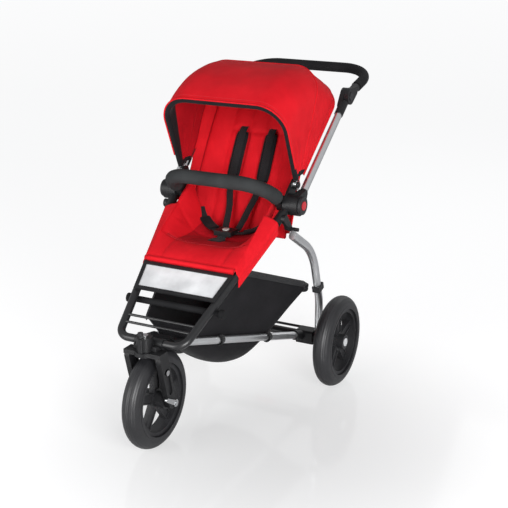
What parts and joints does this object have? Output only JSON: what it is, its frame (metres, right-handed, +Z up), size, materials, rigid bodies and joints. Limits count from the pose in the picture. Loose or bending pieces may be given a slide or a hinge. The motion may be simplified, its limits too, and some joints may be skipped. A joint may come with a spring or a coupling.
{
  "type": "baby stroller",
  "caption": "Folding three-wheeled baby stroller with a padded seat, hood, bumper bar, swivelling front wheel, foot brake, storage basket and adjustable handle.",
  "frame": {"origin": "middle of the whole stroller's box, on the ground", "axes": "+X to the child's left, front towards -Y, +Z up"},
  "size_m": [0.65, 1.2369, 1.0401],
  "materials": {
    "bearing_steel": "ground",
    "black_plastic": "fine grain",
    "black_tube": "satin",
    "bumper_foam": "foamed",
    "dark_cloth": "woven",
    "foam": "foamed",
    "grey_plastic": "fine grain",
    "pale_plastic": "smooth",
    "red_cloth": "woven",
    "red_plastic": "satin",
    "silver_plastic": "satin",
    "silver_tube": "satin",
    "steel": "bright",
    "tyre_rubber": "moulded",
    "webbing": "ribbed"
  },
  "bodies": {
    "chassis": {"head": "black_plastic", "rails": "silver_tube", "rear_axle": "black_tube", "stub_axles": "steel", "axle_blocks": "black_plastic", "basket": "dark_cloth"},
    "caster": {"swivel_stem": "steel", "fork": "black_plastic", "fork_bolts": "steel", "front_axle": "steel"},
    "front_lever": {"quick_release": "steel"},
    "lock_pin": {"swivel_lock": "grey_plastic"},
    "front_wheel": {"front_tyre": "tyre_rubber", "front_rim": "grey_plastic", "front_bearings": "bearing_steel"},
    "left_wheel": {"rear_tyre_left": "tyre_rubber", "rear_rim_left": "grey_plastic", "rear_bearings_left": "bearing_steel"},
    "right_wheel": {"rear_tyre_right": "tyre_rubber", "rear_rim_right": "grey_plastic", "rear_bearings_right": "bearing_steel"},
    "left_wheel_button": {"wheel_button_left": "silver_plastic"},
    "right_wheel_button": {"wheel_button_right": "silver_plastic"},
    "brake": {"brake_bar": "black_tube", "brake_pedal": "red_plastic"},
    "legs": {"rear_legs": "silver_tube", "leg_feet": "black_plastic", "leg_clips": "grey_plastic"},
    "seat_frame": {"front_frame": "black_tube", "side_blocks": "black_plastic", "side_pins": "grey_plastic", "leg_studs": "black_plastic", "panel_border": "black_plastic", "foot_panel": "silver_plastic", "calf_bar": "foam", "foot_bars": "black_tube", "rear_hoop": "steel", "seat_pad": "red_cloth", "crotch_strap": "webbing", "buckle": "black_plastic", "canopy": "red_cloth"},
    "back": {"back_pad": "red_cloth", "shoulder_pads": "dark_cloth"},
    "left_fold_button": {"fold_button_left": "red_plastic"},
    "right_fold_button": {"fold_button_right": "red_plastic"},
    "harness_button": {"buckle_button": "pale_plastic"},
    "handle": {"handle_tubes": "silver_tube", "handle_ears": "black_plastic", "knuckle_bases": "black_plastic"},
    "grip": {"knuckle_tops": "black_plastic", "grip_tube": "silver_tube", "grip_foam": "foam"},
    "left_grip_button": {"knuckle_button_left": "grey_plastic"},
    "right_grip_button": {"knuckle_button_right": "grey_plastic"},
    "middle_bow": {"mid_hoop": "steel"},
    "front_bow": {"front_hoop": "steel"},
    "bumper": {"bumper_tube": "silver_tube", "bumper_foam": "bumper_foam", "bumper_ends": "black_plastic"}
  },
  "joints": [
    {"name": "frame_fold", "type": "hinge", "parent": "chassis", "child": "seat_frame", "pos_m": [0, -0.48347, 0.3326], "axis": [1, 0, 0], "range_deg": [-30.5, 0], "deforming": ["basket"]},
    {"name": "leg_fold", "type": "hinge", "parent": "chassis", "child": "legs", "pos_m": [0, 0.18353, 0.15], "axis": [1, 0, 0], "range_deg": [0, 46.01]},
    {"name": "handle_fold", "type": "hinge", "parent": "seat_frame", "child": "handle", "pos_m": [0, 0.00739, 0.64531], "axis": [1, 0, 0], "range_deg": [0, 148.51]},
    {"name": "caster_turn", "type": "hinge", "parent": "chassis", "child": "caster", "pos_m": [0, -0.51347, 0.3174], "axis": [0, 0, 1], "continuous": true},
    {"name": "front_wheel_spin", "type": "hinge", "parent": "caster", "child": "front_wheel", "pos_m": [0, -0.46847, 0.15], "axis": [1, 0, 0], "continuous": true},
    {"name": "left_wheel_spin", "type": "hinge", "parent": "chassis", "child": "left_wheel", "pos_m": [0, 0.18353, 0.15], "axis": [1, 0, 0], "continuous": true},
    {"name": "right_wheel_spin", "type": "hinge", "parent": "chassis", "child": "right_wheel", "pos_m": [0, 0.18353, 0.15], "axis": [1, 0, 0], "continuous": true},
    {"name": "front_lever_turn", "type": "hinge", "parent": "caster", "child": "front_lever", "pos_m": [0, -0.46847, 0.15], "axis": [1, 0, 0], "range_deg": [0, 120]},
    {"name": "swivel_lock_slide", "type": "slide", "parent": "chassis", "child": "lock_pin", "axis": [0, 0, -1], "range_m": [0, 0.008]},
    {"name": "left_wheel_button_push", "type": "slide", "parent": "left_wheel", "child": "left_wheel_button", "axis": [-1, 0, 0], "range_m": [0, 0.003], "stiffness_N_per_m": 300},
    {"name": "right_wheel_button_push", "type": "slide", "parent": "right_wheel", "child": "right_wheel_button", "axis": [1, 0, 0], "range_m": [0, 0.003], "stiffness_N_per_m": 300},
    {"name": "brake_turn", "type": "hinge", "parent": "chassis", "child": "brake", "pos_m": [0, 0.24353, 0.15], "axis": [1, 0, 0], "range_deg": [-24, 0]},
    {"name": "back_recline", "type": "hinge", "parent": "seat_frame", "child": "back", "pos_m": [0, 0.05019, 0.51201], "axis": [1, 0, 0], "range_deg": [-22, 0]},
    {"name": "left_fold_button_push", "type": "slide", "parent": "seat_frame", "child": "left_fold_button", "axis": [-1, 0, 0], "range_m": [0, 0.003], "stiffness_N_per_m": 300},
    {"name": "right_fold_button_push", "type": "slide", "parent": "seat_frame", "child": "right_fold_button", "axis": [1, 0, 0], "range_m": [0, 0.003], "stiffness_N_per_m": 300},
    {"name": "harness_button_push", "type": "slide", "parent": "seat_frame", "child": "harness_button", "axis": [0, 0, -1], "range_m": [0, 0.003], "stiffness_N_per_m": 300},
    {"name": "grip_turn", "type": "hinge", "parent": "handle", "child": "grip", "pos_m": [0, 0.37636, 0.92335], "axis": [1, 0, 0], "range_deg": [-60, 60]},
    {"name": "left_grip_button_push", "type": "slide", "parent": "grip", "child": "left_grip_button", "axis": [-1, 0, 0], "range_m": [0, 0.003], "stiffness_N_per_m": 300},
    {"name": "right_grip_button_push", "type": "slide", "parent": "grip", "child": "right_grip_button", "axis": [1, 0, 0], "range_m": [0, 0.003], "stiffness_N_per_m": 300},
    {"name": "hood_fold", "type": "hinge", "parent": "seat_frame", "child": "middle_bow", "pos_m": [0, 0.04802, 0.69732], "axis": [1, 0, 0], "range_deg": [-21, 0], "deforming": ["canopy"]},
    {"name": "front_bow_fold", "type": "hinge", "parent": "seat_frame", "child": "front_bow", "pos_m": [0, 0.04802, 0.69732], "axis": [1, 0, 0], "range_deg": [-57.01, 0]},
    {"name": "bumper_swing", "type": "hinge", "parent": "seat_frame", "child": "bumper", "pos_m": [0, 0.00739, 0.64531], "axis": [1, 0, 0], "range_deg": [-35, 0]}
  ],
  "couplings": [
    {"joint": "leg_fold", "follows": "frame_fold", "ratio": -1.5082},
    {"joint": "handle_fold", "follows": "frame_fold", "ratio": -4.8689},
    {"joint": "front_bow_fold", "follows": "hood_fold", "ratio": 2.7143}
  ]
}
